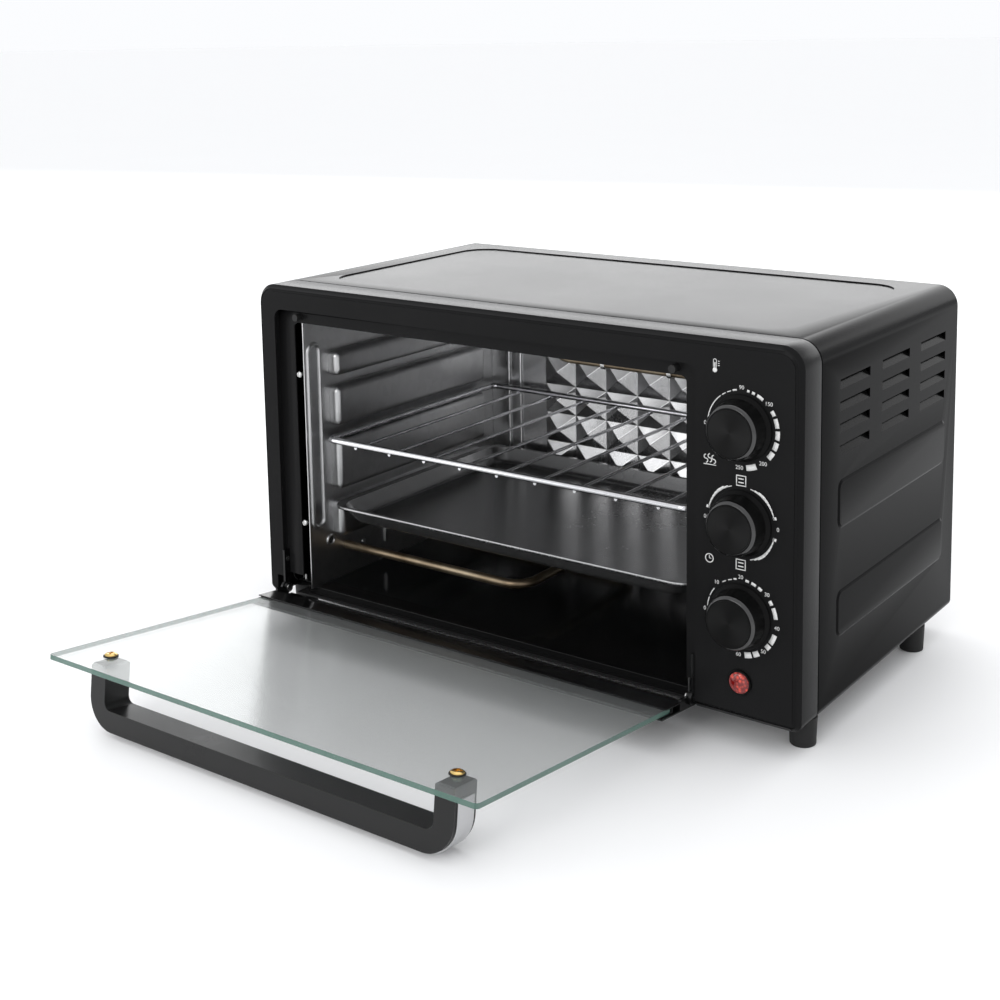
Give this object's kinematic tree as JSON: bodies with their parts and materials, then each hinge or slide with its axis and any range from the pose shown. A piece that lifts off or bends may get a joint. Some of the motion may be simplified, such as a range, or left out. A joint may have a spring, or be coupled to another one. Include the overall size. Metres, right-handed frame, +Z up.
{
  "type": "toaster oven",
  "caption": "Countertop toaster oven with a drop-down glass door on a looped handle, sliding wire rack and tray, side louvers and a column of turning knobs.",
  "frame": {"origin": "centre of the bounding box in plan with the door open, on the plane the feet stand on", "axes": "+Z up, +X to the right seen from the front, +Y from the open door towards the back"},
  "size_m": [0.4316, 0.454, 0.248],
  "materials": {
    "painted_shell": "satin black, finely textured",
    "dark_sheet": "black, low gloss",
    "rubber": "matt",
    "liner_sheet": "galvanised, dull",
    "floor_enamel": "glossy black",
    "heater_tube": "heat tinted",
    "ceramic": "matt",
    "zinc_steel": "bright zinc",
    "switch_plastic": "matt",
    "lamp_red": "clear red",
    "clear_glass": "polished, clear",
    "rail_paint": "satin black",
    "handle_plastic": "black, semi-gloss",
    "trim_metal": "brushed along its length",
    "brass": "polished",
    "chrome_wire": "bright",
    "tray_coating": "dark coating, low gloss",
    "knob_plastic": "black, satin",
    "knob_cap": "black, turned rings"
  },
  "bodies": {
    "oven": {"cabinet_shell": "painted_shell", "front_frame": "painted_shell", "base_plate": "dark_sheet", "rear_panel": "dark_sheet", "door_sill": "dark_sheet", "hinge_bracket_left": "dark_sheet", "hinge_bracket_right": "dark_sheet", "cord_bushing": "rubber", "door_bumpers": "rubber", "feet": "rubber", "cavity_left_wall": "liner_sheet", "cavity_right_wall": "liner_sheet", "cavity_ceiling": "liner_sheet", "cavity_back": "liner_sheet", "heat_shield": "liner_sheet", "cavity_floor": "floor_enamel", "upper_heater": "heater_tube", "lower_heater": "heater_tube", "heater_insulators": "ceramic", "terminal_block": "ceramic", "heater_clips": "zinc_steel", "foot_screws": "zinc_steel", "rear_screws": "zinc_steel", "jamb_screws": "zinc_steel", "bracket_screws": "zinc_steel", "thermostat": "switch_plastic", "function_switch": "switch_plastic", "timer": "switch_plastic", "lamp_holder": "switch_plastic", "lamp_lens": "lamp_red"},
    "door": {"door_glass": "clear_glass", "door_rail": "rail_paint", "glass_seal": "rubber", "hinge_pins": "zinc_steel", "handle": "handle_plastic", "handle_trim": "trim_metal", "handle_screws": "brass", "handle_pads": "rubber"},
    "temp_dial": {"temp_shaft": "zinc_steel", "temp_knob": "knob_plastic", "temp_knob_cap": "knob_cap"},
    "function_dial": {"function_shaft": "zinc_steel", "function_knob": "knob_plastic", "function_knob_cap": "knob_cap"},
    "timer_dial": {"timer_shaft": "zinc_steel", "timer_knob": "knob_plastic", "timer_knob_cap": "knob_cap"},
    "rack": {"wire_rack": "chrome_wire"},
    "tray": {"baking_tray": "tray_coating"}
  },
  "joints": [
    {"name": "door_hinge", "type": "hinge", "parent": "oven", "child": "door", "pos_m": [-0.02645, -0.017, 0.024], "axis": [-1, 0, 0], "range_deg": [0, 83.3]},
    {"name": "temp_turn", "type": "hinge", "parent": "oven", "child": "temp_dial", "pos_m": [0.1765, -0.027, 0.197], "axis": [0, 1, 0], "range_deg": [0, 270]},
    {"name": "function_turn", "type": "hinge", "parent": "oven", "child": "function_dial", "pos_m": [0.1765, -0.027, 0.14], "axis": [0, 1, 0], "continuous": true},
    {"name": "timer_turn", "type": "hinge", "parent": "oven", "child": "timer_dial", "pos_m": [0.1765, -0.027, 0.083], "axis": [0, 1, 0], "range_deg": [0, 270]},
    {"name": "rack_slide", "type": "slide", "parent": "oven", "child": "rack", "axis": [0, 1, 0], "range_m": [-0.15, 0]},
    {"name": "tray_slide", "type": "slide", "parent": "oven", "child": "tray", "axis": [0, 1, 0], "range_m": [-0.15, 0]}
  ]
}
